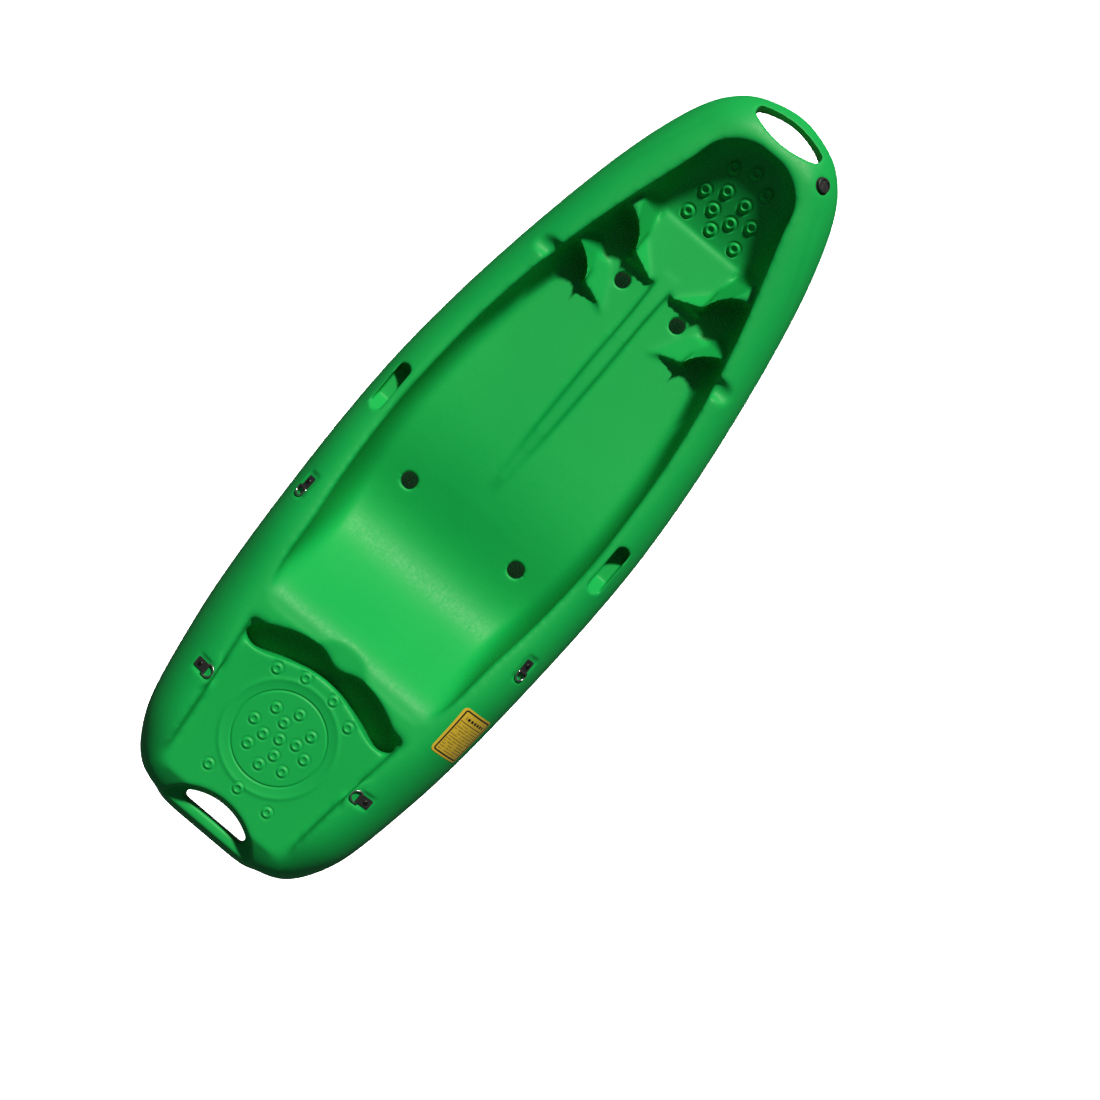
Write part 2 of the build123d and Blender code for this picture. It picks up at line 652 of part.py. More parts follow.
def ring_insert():
    body = up_cyl(INSERT_R, INSERT_TOP - INSERT_LONG, INSERT_TOP)
    for z in (-3.5, -8.5):
        rib = up_cyl(INSERT_R - 0.6, z - 1.2, z)
        band = up_cyl(INSERT_R + 1, z - 1.2, z) - rib
        body -= band
    return body - up_cyl(SCREW_R + FIT, -INSERT_LONG + 1.5, 2)


def drain_insert():
    body = up_cyl(DRAIN_FLANGE_R, 0, DRAIN_FLANGE_H)
    body += up_cyl(DRAIN_BARREL_R, -DRAIN_BARREL_LONG, 0.5)
    return body - up_cyl(DRAIN_BORE_R, -40, 10)


def drain_gasket():
    z = DRAIN_FLANGE_H
    outer_r = DRAIN_BORE_R + FIT + GASKET_WIDE
    return up_cyl(outer_r, z, z + GASKET_H) - up_cyl(DRAIN_BORE_R + FIT, z - 1, z + 5)


def drain_plug():
    z = DRAIN_FLANGE_H + GASKET_H
    head = Pos(0, 0, z) * extrude(Circle(DRAIN_HEAD_R), amount=DRAIN_HEAD_H)
    head = fillet(head.edges().group_by(Axis.Z)[-1], 1.6)
    dish = up_cyl(DRAIN_HEAD_R - 3.5, z + DRAIN_HEAD_H - 2.5, z + 20)
    bar = Pos(0, 0, z + DRAIN_HEAD_H - 2.5) * Box(
        2 * DRAIN_HEAD_R - 6, 4.0, 2.5, align=(Align.CENTER, Align.CENTER, Align.MIN)
    )
    shank = up_cyl(DRAIN_BORE_R - FIT, z - DRAIN_SHANK_LONG, z + 0.1)
    hollow = up_cyl(DRAIN_BORE_R - 3.0, z - DRAIN_SHANK_LONG - 1, z - 2.0)
    return head - dish + bar + shank - hollow


def label_frame():
    """A plane facing the middle of the label on the starboard shoulder."""
    y0 = LABEL_TOP_Y * SY
    z0 = shoulder_z(LABEL_X, y0)
    ang = math.radians(LABEL_TILT)
    cy = y0 + LABEL_CHORD / 2 * math.cos(ang)
    cz = z0 - LABEL_CHORD / 2 * math.sin(ang)
    n = Vector(0, -math.sin(ang), math.cos(ang))
    return Plane(origin=(LABEL_X * SX, -cy, cz), x_dir=(1, 0, 0), z_dir=n)


def safety_label():
    plane = label_frame()
    tool = extrude(RectangleRounded(LABEL_LONG, LABEL_CHORD, LABEL_CORNER), amount=70, both=True)
    tool = plane * tool
    big = outer(-LABEL_THICK - FIT, -930, 930)
    small = outer(-FIT, -930, 930)
    return (big & tool) - small


def knob(x, y):
    z = deck_z(x / SX)
    tilt = Rot(0, -math.degrees(math.atan(DECK_FALL * SZ / SX)), 0)
    body = Cone(KNOB_D / 2, KNOB_D / 2 - 3.5, KNOB_HIGH + 1, align=(Align.CENTER, Align.CENTER, Align.MIN))
    dimple = Pos(0, 0, KNOB_HIGH + 1) * Cone(KNOB_EYE - 1.5, KNOB_EYE, 2.4)
    return Pos(x, y, z - 1) * tilt * (body - dimple)


def groove():
    x = DISC[0] * SX
    ring = up_cyl(GROOVE_R + GROOVE_HALF, -GROOVE_DEEP, 5) - up_cyl(GROOVE_R - GROOVE_HALF, -9, 9)
    tilt = Rot(0, -math.degrees(math.atan(DECK_FALL * SZ / SX)), 0)
    return Pos(x, 0, deck_z(DISC[0])) * tilt * ring


# ---------------------------------------------------------------- the moulding
def hull_shell():
    hull = skin(0.0)
    void = skin(WALL)
    boss_r = INSERT_R + FIT + BOSS_WALL
    for plane in RINGS.values():
        void -= plane * up_cyl(boss_r, -INSERT_LONG - BOSS_WALL, 20)
    hull -= void
    for plane in RINGS.values():
        hull -= plane * up_cyl(INSERT_R + FIT, INSERT_TOP - INSERT_LONG - FIT, 20)
    hull -= DRAIN * up_cyl(DRAIN_BARREL_R + FIT, -40, 20)
    hull -= groove()
    for x, y in DISC_KNOBS + DECK_KNOBS:
        hull += knob(x * SX, y * SY)
    return hull


def write(shape, name):
    os.makedirs("parts", exist_ok=True)
    export_step(shape, "parts/" + name + ".step")


write(hull_shell(), "hull_shell")
write(safety_label(), "safety_label")
write(DRAIN * drain_insert(), "drain_insert")
write(DRAIN * drain_gasket(), "drain_gasket")
write(DRAIN * drain_plug(), "drain_plug")
for name, plane in RINGS.items():
    write(plane * ring_tab(), "ring_tab_" + name)
    write(plane * d_ring(), "d_ring_" + name)
    write(plane * ring_screw(), "ring_screw_" + name)
    write(plane * ring_insert(), "ring_insert_" + name)
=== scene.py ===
import json
import math
import bpy
import bmesh
import numpy as np
from mathutils import Matrix, Vector
from mathutils.bvhtree import BVHTree


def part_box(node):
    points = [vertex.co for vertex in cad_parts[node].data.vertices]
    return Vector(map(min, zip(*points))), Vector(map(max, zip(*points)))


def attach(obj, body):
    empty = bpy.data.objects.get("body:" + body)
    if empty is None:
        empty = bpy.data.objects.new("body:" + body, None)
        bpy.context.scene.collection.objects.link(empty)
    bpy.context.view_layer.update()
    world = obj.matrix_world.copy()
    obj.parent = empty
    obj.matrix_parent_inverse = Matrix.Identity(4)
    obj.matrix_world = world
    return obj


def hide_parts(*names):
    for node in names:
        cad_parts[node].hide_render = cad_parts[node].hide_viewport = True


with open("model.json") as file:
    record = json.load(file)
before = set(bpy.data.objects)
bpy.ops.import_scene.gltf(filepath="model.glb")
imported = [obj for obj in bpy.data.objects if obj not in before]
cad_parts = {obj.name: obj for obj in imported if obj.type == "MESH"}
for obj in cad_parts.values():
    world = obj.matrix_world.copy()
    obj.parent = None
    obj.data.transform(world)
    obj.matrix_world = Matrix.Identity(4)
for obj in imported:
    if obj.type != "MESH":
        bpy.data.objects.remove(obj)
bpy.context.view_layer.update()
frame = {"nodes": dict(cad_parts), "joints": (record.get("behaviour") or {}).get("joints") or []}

MM = 0.001
NODES = frame["nodes"]
JOINTS = {j["name"]: j for j in frame["joints"]}
RING_PLACES = ("mid_port", "mid_starboard", "rear_port", "rear_starboard")
scene = bpy.context.scene

# ---------------------------------------------------------------- camera and stage
PHOTO_SPAN = 2.1916  # what the square picture covers at the hull, in metres
BOW_ANGLE = math.radians(49.8)  # how far the bow points up from the picture's right
AIM = Vector((-0.047, -0.168, 0.16))
CAMERA_HIGH = 5.2  # metres above AIM
SENSOR = 36.0

FLOOR_HALF = 14.0
FLOOR_COLOUR = (0.92, 0.92, 0.92, 1)
WORLD_COLOUR = (0.85, 0.97, 1.0, 1)
WORLD_STRENGTH = 0.09
KEY_COLOUR = (1.0, 0.965, 0.86)
KEY_STRENGTH = 4.35
KEY_SOFTNESS = math.radians(5.0)
KEY_ELEVATION = math.radians(44.0)
KEY_AWAY = 4
FLOOR_LAMPS = 6  # low lamps that keep the floor pale all round the boat
FLOOR_LAMP_AWAY = 6.5
FLOOR_LAMP_ELEVATION = math.radians(34.0)
FLOOR_LAMP_SIZE = 2.4
FLOOR_LAMP_WATTS = 520.0


def make_camera():
    """Straight above the boat, turned so that the bow points up and to the right."""
    data = bpy.data.cameras.new("camera")
    cam = bpy.data.objects.new("camera", data)
    scene.collection.objects.link(cam)
    scene.camera = cam
    data.sensor_width = SENSOR
    data.lens = SENSOR * CAMERA_HIGH / PHOTO_SPAN
    data.clip_start = 0.05
    data.clip_end = 100.0
    c, s = math.cos(BOW_ANGLE), math.sin(BOW_ANGLE)
    right = Vector((c, -s, 0))
    up = Vector((s, c, 0))
    back = Vector((0, 0, 1))
    cam.location = AIM + back * CAMERA_HIGH
    cam.rotation_mode = "QUATERNION"
    cam.rotation_quaternion = Matrix((right, up, back)).transposed().to_quaternion()


def add_light(name, kind, place, strength):
    """A light at place, pointing at the origin."""
    data = bpy.data.lights.new(name, kind)
    data.energy = strength
    light = bpy.data.objects.new(name, data)
    scene.collection.objects.link(light)
    light.location = place
    light.rotation_mode = "QUATERNION"
    light.rotation_quaternion = (-Vector(place)).to_track_quat("-Z", "Y")
    return light


def only_for(light, state, objects, name):
    """Light linking: the light falls on these objects only, or on all but these."""
    group = bpy.data.collections.new(name)
    for o in objects:
        group.objects.link(o)
    light.light_linking.receiver_collection = group
    for item in group.collection_objects:
        item.light_linking.link_state = state


def make_floor():
    """A pale floor with lamps of its own, which throws no colour back on the boat."""
    me = bpy.data.meshes.new("floor")
    s = FLOOR_HALF
    me.from_pydata([(-s, -s, 0), (s, -s, 0), (s, s, 0), (-s, s, 0)], [], [(0, 1, 2, 3)])
    floor = bpy.data.objects.new("floor", me)
    scene.collection.objects.link(floor)
    mat = bpy.data.materials.new("floor")
    mat.use_nodes = True
    b = mat.node_tree.nodes["Principled BSDF"]
    b.inputs["Base Color"].default_value = FLOOR_COLOUR
    b.inputs["Roughness"].default_value = 0.9
    b.inputs["Specular IOR Level"].default_value = 0.1
    me.materials.append(mat)
    floor.visible_diffuse = False
    floor.visible_glossy = False
    return floor


def make_lights(floor):
    world = bpy.data.worlds.new("world")
    scene.world = world
    world.use_nodes = True
    bg = world.node_tree.nodes["Background"]
    bg.inputs["Color"].default_value = WORLD_COLOUR
    bg.inputs["Strength"].default_value = WORLD_STRENGTH
    # the key light comes from over the bow and leaves the floor out
    e = KEY_ELEVATION
    key = add_light("key", "SUN", Vector((math.cos(e), 0.0, math.sin(e))) * KEY_AWAY, KEY_STRENGTH)
    key.data.angle = KEY_SOFTNESS
    key.data.color = KEY_COLOUR
    only_for(key, "EXCLUDE", [floor], "key_light_set")
    e = FLOOR_LAMP_ELEVATION
    flat = FLOOR_LAMP_AWAY
    for i in range(FLOOR_LAMPS):
        a = math.radians((i + 0.5) * 360 / FLOOR_LAMPS)
        place = (flat * math.cos(a) * math.cos(e), flat * math.sin(a) * math.cos(e), flat * math.sin(e))
        lamp = add_light("floor_light_%d" % i, "AREA", place, FLOOR_LAMP_WATTS)
        lamp.data.shape = "DISK"
        lamp.data.size = FLOOR_LAMP_SIZE
        only_for(lamp, "INCLUDE", [floor], "floor_light_set_%d" % i)
    scene.view_settings.view_transform = "Standard"


make_camera()
make_lights(make_floor())


# ---------------------------------------------------------------- hull mesh
# Places on the hull are in millimetres, in the CAD's frame: x to the bow, y to port.
VOXEL = 3.0 * MM
WELD = 1e-7  # vertices nearer than this are one, in metres
DRAIN_HOLE_R = 13.05 * MM
DRAIN_HOLE_SLACK = 0.25 * MM
DRAIN_HOLE_TOP = 1.0 * MM
DRAIN_HOLE_FOOT = -30.0 * MM
SETTLE_REACH = 4.0 * MM

RELAX_ROUNDS = 46
RELAX_STEP = 0.6
SOFT_PLAIN = 9.0  # rounds of smoothing, by place
SOFT_COCKPIT = 22.0
SOFT_FITTINGS = 3.0
FOOTREST_CRISP = 0.42
COCKPIT = (-515, 850, 262)  # x aft, x fore, half width
FOOTRESTS = (365, 640, 210, 200)  # x aft, x fore, half width, top
LOBES = (372, 640, 24, 200, 60, 215)  # x aft, x fore, |y| from, to, z from, to
DECK_EDGE = ((-940.0, 140.0), (-520.0, 194.0))  # the rear deck's side edge
DECK_CORNER = (-522.0, 183.0)  # its end beside the gap behind the backrest
TAB_CRISP = (34.0, 48.0)  # crisp up to the first distance, soft from the second
DRAIN_CRISP = (24.0, 34.0)
SCUPPERS = ((-123, 141, 18), (464, 72, 17))  # x, |y|, radius
GRIP = (-4, 44, 282)  # x of its middle, half length, |y|
GRIP_CRISP = (20.0, 30.0)
RAISED = 150  # the deck, gunwale and shoulders all lie above this
# crest arc of the lobe beside it, |y| from, |y| to, x from, height that is left
SHELVES = (
    ([(405, 127), (440, 148), (462, 192)], 131.0, 145.0, 402.0, 91.0),
    ([(518, 89), (556, 110), (579, 156)], 92.0, 107.0, 514.0, 93.5),
)
SHELF_INSET = 1.6
SHELF_TOP = 200

DECK_Z = 236.0
DECK_FALL = 0.07
DECK_FALL_FROM = -545.0
DECK_REDRAWN = 3.2  # vertices this near the deck's plane are redrawn
DISC = (-676.0, 0.0)
DISC_LINE_R = 96.0  # thin dark line
DISC_RING_R = 118.0  # broad raised ring
DISC_KNOBS = [
    (-722, 42), (-676, 63), (-632, 43), (-688, 30), (-645, 12), (-740, -2), (-676, -2),
    (-613, -2), (-708, -14), (-664, -35), (-722, -47), (-632, -47), (-676, -65),
]
DECK_KNOBS = [
    (-803, 74), (-803, -1), (-803, -76), (-549, 35), (-549, -35), (-571, 91), (-571, -91),
]
WELL_KNOBS = [
    (652, 60), (652, 1), (652, -60), (684, 23), (684, -22), (726, 23), (726, -23), (703, 60),
    (703, -60), (768, 42), (768, -42), (786, 0),
]
DECK_KNOB_D = 24.0
WELL_KNOB_D = 27.0
WELL_KNOB_HIGH = 2.1  # times a deck knob's height
WELL_TOP = 215
SHOULDER_CREASE = ((560.0, 246.0), (812.0, 142.0))
CREASE_BOW = 6.0
CREASE_DEEP = 1.6
CREASE_WIDE = 7.0
CREASE_IN = 5
REFINE_CUTS = 2


def deck_z(x):
    """Height of the rear deck at x, both in metres."""
    return (DECK_Z - DECK_FALL * (DECK_FALL_FROM - x * 1000.0)) * MM


def mesh_arrays(me):
    me.calc_loop_triangles()
    tri = np.empty(len(me.loop_triangles) * 3, np.int64)
    me.loop_triangles.foreach_get("vertices", tri)
    return vertex_array(me), tri.reshape(-1, 3)


def vertex_array(me):
    co = np.empty(len(me.vertices) * 3)
    me.vertices.foreach_get("co", co)
    return co.reshape(-1, 3)


def edge_array(me):
    e = np.empty(len(me.edges) * 2, np.int64)
    me.edges.foreach_get("vertices", e)
    return e.reshape(-1, 2)


def put_vertices(me, co):
    me.vertices.foreach_set("co", co.ravel())
    me.update()


def welded(co, tri):
    """Join vertices that lie on each other and drop the triangles that this flattens."""
    key = np.round(co / WELD).astype(np.int64)
    _, first, back = np.unique(key, axis=0, return_index=True, return_inverse=True)
    tri = back.reshape(-1)[tri]
    ok = (tri[:, 0] != tri[:, 1]) & (tri[:, 1] != tri[:, 2]) & (tri[:, 0] != tri[:, 2])
    return co[first], tri[ok]


def without_drain_hole(co, tri):
    """Drop the wall of the drain's hole, which joins the hollow to the outside."""
    p = np.array(JOINTS["plug_turn"]["pos_m"])
    d = np.array(JOINTS["plug_turn"]["axis"], float)
    d /= np.linalg.norm(d)
    rel = co - p
    along = rel @ d
    off = np.linalg.norm(rel - along[:, None] * d, axis=1)
    wall = (off < DRAIN_HOLE_R + DRAIN_HOLE_SLACK) & (along < DRAIN_HOLE_TOP) & (along > DRAIN_HOLE_FOOT)
    return tri[~wall[tri].all(axis=1)]


def connected(co, tri):
    """The triangles joined to the one furthest to port, which is on the outside."""
    label = np.arange(len(co))
    while True:
        low = label[tri].min(axis=1)
        new = label.copy()
        for k in range(3):
            np.minimum.at(new, tri[:, k], low)
        new = new[new]
        if (new == label).all():
            break
        label = new
    seed = tri[np.argmax(co[tri[:, 0], 1])][0]
    return tri[label[tri[:, 0]] == label[seed]]


def outer_skin():
    """The CAD hull's outside, without the hollow behind it, as a closed mesh."""
    co, tri = welded(*mesh_arrays(NODES["hull_shell"].data))
    tri = connected(co, without_drain_hole(co, tri))
    used, tri = np.unique(tri, return_inverse=True)
    me = bpy.data.meshes.new("hull_skin")
    me.from_pydata(co[used].tolist(), [], tri.reshape(-1, 3).tolist())
    bm = bmesh.new()
    bm.from_mesh(me)
    bmesh.ops.holes_fill(bm, edges=[e for e in bm.edges if e.is_boundary], sides=0)
    bmesh.ops.triangulate(bm, faces=[f for f in bm.faces if len(f.verts) > 4])
    bm.to_mesh(me)
    bm.free()
    return me


def remeshed(me, size):
    o = bpy.data.objects.new("tmp", me)
    scene.collection.objects.link(o)
    m = o.modifiers.new("remesh", "REMESH")
    m.mode = "VOXEL"
    m.voxel_size = size
    m.adaptivity = 0.0
    dg = bpy.context.evaluated_depsgraph_get()
    out = bpy.data.meshes.new_from_object(o.evaluated_get(dg))
    bpy.data.objects.remove(o)
    return out


def settle(co, me, limit):
    """Put each vertex back on the surface it came from, except on the footrest lobes."""
    tree = BVHTree.FromPolygons([v.co for v in me.vertices], [p.vertices for p in me.polygons])
    x, y, z = (co / MM).T
    x0, x1, y0, y1, z0, z1 = LOBES
    lobes = (x > x0) & (x < x1) & (np.abs(y) > y0) & (np.abs(y) < y1) & (z > z0) & (z < z1)
    for i in np.nonzero(~lobes)[0]:
        hit = tree.find_nearest(co[i], limit)
        if hit[0] is not None:
            co[i] = hit[0]
    return co


def relax(co, edges, rounds, amount):
    """Laplacian smoothing; amount gives how many of the rounds each vertex takes."""
    n = len(co)
    deg = np.bincount(edges.ravel(), minlength=n).astype(float)
    for k in range(rounds):
        w = np.clip(amount - k, 0.0, 1.0) * RELAX_STEP
        for axis in range(3):
            s = np.bincount(edges[:, 0], weights=co[edges[:, 1], axis], minlength=n)
            s += np.bincount(edges[:, 1], weights=co[edges[:, 0], axis], minlength=n)
            co[:, axis] += w * (s / deg - co[:, axis])
    return co


def falloff(d, near, far):
    """1 up to near, 0 from far, smooth between."""
    t = np.clip((far - d) / (far - near), 0.0, 1.0)
    return t * t * (3 - 2 * t)


def bell(d, wide):
    """1 where d is 0, falling off smoothly on both sides."""
    return np.exp(-(d / wide) ** 2)


def arc_x(points, y):
    """x on the circle through three points, at y."""
    (x0, y0), (x1, y1), (x2, y2) = points
    s0, s1, s2 = x0 * x0 + y0 * y0, x1 * x1 + y1 * y1, x2 * x2 + y2 * y2
    d = 2 * (x0 * (y1 - y2) + x1 * (y2 - y0) + x2 * (y0 - y1))
    cx = (s0 * (y1 - y2) + s1 * (y2 - y0) + s2 * (y0 - y1)) / d
    cy = (s0 * (x2 - x1) + s1 * (x0 - x2) + s2 * (x1 - x0)) / d
    r = math.hypot(x0 - cx, y0 - cy)
    return cx + np.sqrt(np.maximum(r * r - (y - cy) ** 2, 0))


def trim_shelves(co):
    """Take the small shelf off where two lobes of a footrest meet."""
    x, y, z = (co / MM).T
    ay = np.abs(y)
    for points, y0, y1, x0, low in SHELVES:
        beside = (ay > y0) & (ay < y1) & (x > x0) & (x < arc_x(points, ay) - SHELF_INSET)
        co[beside & (z > low) & (z < SHELF_TOP), 2] = low * MM
    return co


def box_middle(node):
    lo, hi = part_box(node)
    return (Vector(lo) + Vector(hi)) / 2 / MM


def deck_edge_band(x, ay):
    """1 along the rear deck's side edges and the corners at their forward ends."""
    (x0, y0), (x1, y1) = DECK_EDGE
    edge_y = y0 + (x - x0) * ((y1 - y0) / (x1 - x0))
    middle = -(x0 + x1) / 2
    along = falloff(np.abs(x + middle), 190.0, 215.0)
    side = falloff(np.abs(ay - edge_y), 10.0, 24.0) * along
    corner = falloff(np.hypot(x - DECK_CORNER[0], ay - DECK_CORNER[1]), 16.0, 32.0)
    return np.maximum(side, corner)


def crispness(x, y, z):
    """1 at the fittings, holes and slots, part of it at the footrests, 0 elsewhere."""
    ay = np.abs(y)
    crisp = []
    for name in RING_PLACES:
        c = box_middle("ring_tab_" + name)
        crisp.append(falloff(np.hypot(x - c.x, y - c.y), *TAB_CRISP))
    c = box_middle("drain_insert")
    crisp.append(falloff(np.hypot(x - c.x, y - c.y), *DRAIN_CRISP))
    for sx, sy, r in SCUPPERS:
        crisp.append(falloff(np.hypot(x - sx, ay - sy), r + 5.0, r + 14.0))
    x0, x1, half, top = FOOTRESTS
    rest = (x > x0) & (x < x1) & (ay < half) & (z < top)
    crisp.append(np.where(rest, FOOTREST_CRISP, 0.0))
    gx, half, gy = GRIP
    slot = np.hypot(np.maximum(np.abs(x - gx) - half, 0), ay - gy)
    crisp.append(falloff(slot, *GRIP_CRISP))
    return np.max(crisp, axis=0)


def softness(co):
    """Rounds of smoothing: crisp at the fittings, holes and slots, soft at the cockpit."""
    x, y, z = (co / MM).T
    ay = np.abs(y)
    x0, x1, half = COCKPIT
    cockpit = (x > x0) & (x < x1) & (ay < half)
    soft = np.where(cockpit, SOFT_COCKPIT, SOFT_PLAIN)
    band = deck_edge_band(x, ay)
    soft = np.where(z > RAISED, soft + band * (RELAX_ROUNDS - soft), soft)
    c = crispness(x, y, z)
    return soft * (1 - c) + SOFT_FITTINGS * c


def knob_profile(r):
    """Height of one knob: a low ring with a dimple, in mm at r mm from its middle."""
    ring = 2.3 * bell(r - 7.2, 2.6)
    hollow = -0.9 * bell(r - 12.8, 1.9)
    return ring + hollow


def crease_depth(x, y):
    """Depth of the soft crease along each bow shoulder, in mm."""
    a, b = np.array(SHOULDER_CREASE)
    run = b - a
    t = ((x - a[0]) * run[0] + (np.abs(y) - a[1]) * run[1]) / (run ** 2).sum()
    along = np.clip(t, 0, 1)
    d = ((x - a[0]) * run[1] - (np.abs(y) - a[1]) * run[0]) / np.hypot(*run)
    d = d + CREASE_BOW * 4 * along * (1 - along)
    fade = falloff(np.abs(t - 0.55), 0.3, 0.5)
    return CREASE_DEEP * fade * bell(d - CREASE_IN, CREASE_WIDE)


def details(co):
    """Knobs, the rear deck's disc and the shoulder creases, as heights."""
    x, y, z = (co / MM).T
    dz = np.zeros(len(co))
    flat = deck_z(co[:, 0]) / MM
    r = np.hypot(x - DISC[0], y - DISC[1])
    near = np.zeros(len(co), bool)
    for kx, ky in DECK_KNOBS:
        near |= np.hypot(x - kx, y - ky) < 20
    on = ((r < 134) | near) & (np.abs(z - flat) < DECK_REDRAWN) & (x < -534) & (x > -826)
    z = np.where(on, flat, z)
    for kx, ky in DISC_KNOBS + DECK_KNOBS:
        dz += np.where(on, knob_profile(np.hypot(x - kx, y - ky)), 0)
    # the recessed disc, its dark inner line and its broad outer ring
    dz += np.where(on, -2.3 * bell(r - DISC_LINE_R, 1.9), 0)
    dz += np.where(on, 1.4 * bell(r - DISC_RING_R, 5.0), 0)
    dz += np.where(on, -1.2 * falloff(r, 99.0, 113.0), 0)
    up = (x > 636) & (x < 812) & (np.abs(y) < 85) & (z < WELL_TOP)
    for kx, ky in WELL_KNOBS:
        k = np.hypot(x - kx, y - ky)
        dz += np.where(up, WELL_KNOB_HIGH * knob_profile(k * DECK_KNOB_D / WELL_KNOB_D), 0)
    dz -= np.where(z > RAISED, crease_depth(x, y), 0)
    out = co.copy()
    out[:, 2] = (z + dz) * MM
    return out


def refine(me, zones):
    """Divide the faces of each zone, so that the small shapes there have enough of them."""
    bm = bmesh.new()
    bm.from_mesh(me)
    for zone in zones:
        faces = [f for f in bm.faces if zone(f.calc_center_median() / MM, f.normal)]
        edges = list({e for f in faces for e in f.edges})
        bmesh.ops.subdivide_edges(bm, edges=edges, cuts=REFINE_CUTS, use_grid_fill=True)
    bm.to_mesh(me)
    bm.free()


def deck_zone(c, n):
    if not (-824 < c.x < -534 and abs(c.y) < 134 and n.z > 0.9):
        return False
    r = math.hypot(c.x - DISC[0], c.y - DISC[1])
    return r < 132 or any(math.hypot(c.x - kx, c.y - ky) < 19 for kx, ky in DECK_KNOBS)


def well_zone(c, n):
    if not (634 < c.x < 806 and abs(c.y) < 84 and c.z < WELL_TOP and n.z > 0.5):
        return False
    return any(math.hypot(c.x - kx, c.y - ky) < 20 for kx, ky in WELL_KNOBS)


def build_hull():
    skin = outer_skin()
    me = remeshed(skin, VOXEL)
    co = settle(vertex_array(me), skin, SETTLE_REACH)
    co = trim_shelves(co)
    co = relax(co, edge_array(me), RELAX_ROUNDS, softness(co))
    put_vertices(me, co)
    refine(me, [deck_zone, well_zone])
    put_vertices(me, details(vertex_array(me)))
    me.name = "hull_visual"
    for p in me.polygons:
        p.use_smooth = True
    o = bpy.data.objects.new("hull_visual", me)
    scene.collection.objects.link(o)
    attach(o, "hull")
    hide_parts("hull_shell")
    return o


hull = build_hull()


# ---------------------------------------------------------------- materials
class Graph:
    """A short way to write node materials."""

    def __init__(self, name):
        self.mat = bpy.data.materials.new(name)
        self.mat.use_nodes = True
        self.t = self.mat.node_tree
        self.bsdf = self.t.nodes["Principled BSDF"]

    def node(self, kind, **inputs):
        n = self.t.nodes.new(kind)
        for k, v in inputs.items():
            if k.startswith("_"):
                setattr(n, k[1:], v)
            else:
                self.put(n.inputs[k.replace("__", " ")], v)
        return n

    def put(self, socket, v):
        if isinstance(v, bpy.types.NodeSocket):
            self.t.links.new(v, socket)
        else:
            socket.default_value = v

    def coords(self):
        return self.node("ShaderNodeTexCoord").outputs["Object"]

    def noise(self, at, scale, detail=3.0, rough=0.55):
        n = self.node("ShaderNodeTexNoise", Vector=at, Scale=scale, Detail=detail, Roughness=rough)
        return n.outputs["Fac"]

    def math(self, op, a, b=0.0):
        n = self.node("ShaderNodeMath", _operation=op)
        self.put(n.inputs[0], a)
        self.put(n.inputs[1], b)
        return n.outputs[0]

    def within(self, a, middle, half):
        """1 where a is nearer than half to middle."""
        return self.math("LESS_THAN", self.math("ABSOLUTE", self.math("SUBTRACT", a, middle)), half)

    def all_of(self, *masks):
        out = masks[0]
        for m in masks[1:]:
            out = self.math("MULTIPLY", out, m)
        return out

    def ramp(self, fac, a, b, lo, hi):
        n = self.node("ShaderNodeMapRange", Value=fac)
        n.inputs["From Min"].default_value = a
        n.inputs["From Max"].default_value = b
        n.inputs["To Min"].default_value = lo
        n.inputs["To Max"].default_value = hi
        return n.outputs["Result"]

    def mix(self, fac, a, b):
        n = self.node("ShaderNodeMix", _data_type="RGBA")
        self.put(n.inputs[0], fac)
        self.put(n.inputs[6], a)
        self.put(n.inputs[7], b)
        return n.outputs[2]

    def bump(self, height, strength, distance, normal=None):
        n = self.node("ShaderNodeBump", Height=height, Strength=strength, Distance=distance)
        if normal is not None:
            self.put(n.inputs["Normal"], normal)
        return n.outputs["Normal"]

    def set(self, **inputs):
        for k, v in inputs.items():
            self.put(self.bsdf.inputs[k.replace("__", " ")], v)
        return self.mat


def green_plastic():
    """Moulded polyethylene: slow colour change, specks, a painted highlight that makes convex edges
    paler in patches, and fine scratches.
    """
    g = Graph("green_polyethylene")
    at = g.coords()
    broad = g.noise(at, scale=3.0, detail=2.0)
    fine = g.noise(at, scale=420.0, detail=2.0)
    peel = g.noise(at, scale=140.0, detail=3.0)
    speck = g.noise(at, scale=900.0, detail=1.0)
    base = g.mix(g.ramp(broad, 0.3, 0.7, 0, 1), (0.003, 0.350, 0.066, 1), (0.008, 0.380, 0.072, 1))
    base = g.mix(g.ramp(speck, 0.62, 0.8, 0, 0.25), base, (0.02, 0.42, 0.09, 1))
    # painted highlight: convex edges, found by pointiness, are mixed in patches towards a paler green to
    # stand in for the light caught on the rims
    edge = g.node("ShaderNodeNewGeometry").outputs["Pointiness"]
    painted_rim_highlight = g.math("MULTIPLY", g.ramp(edge, 0.52, 0.58, 0, 1), g.ramp(peel, 0.45, 0.6, 0, 1))
    base = g.mix(g.math("MULTIPLY", painted_rim_highlight, 0.22), base, (0.06, 0.48, 0.14, 1))
    stretched = g.node("ShaderNodeMapping", Vector=at)
    stretched.inputs["Scale"].default_value = (6.0, 260.0, 40.0)
    streak = g.noise(stretched.outputs[0], scale=1.0, detail=2.0, rough=0.6)
    grain = g.ramp(peel, 0.3, 0.7, 0.46, 0.56)
    scratches = g.ramp(streak, 0.6, 0.75, 0.0, 0.10)
    rough = g.math("ADD", grain, scratches)
    coarse_bump = g.bump(peel, strength=0.18, distance=0.0006)
    bumps = g.bump(fine, strength=0.12, distance=0.0002, normal=coarse_bump)
    return g.set(Base__Color=base, Roughness=rough, Normal=bumps, Specular__IOR__Level=0.22)


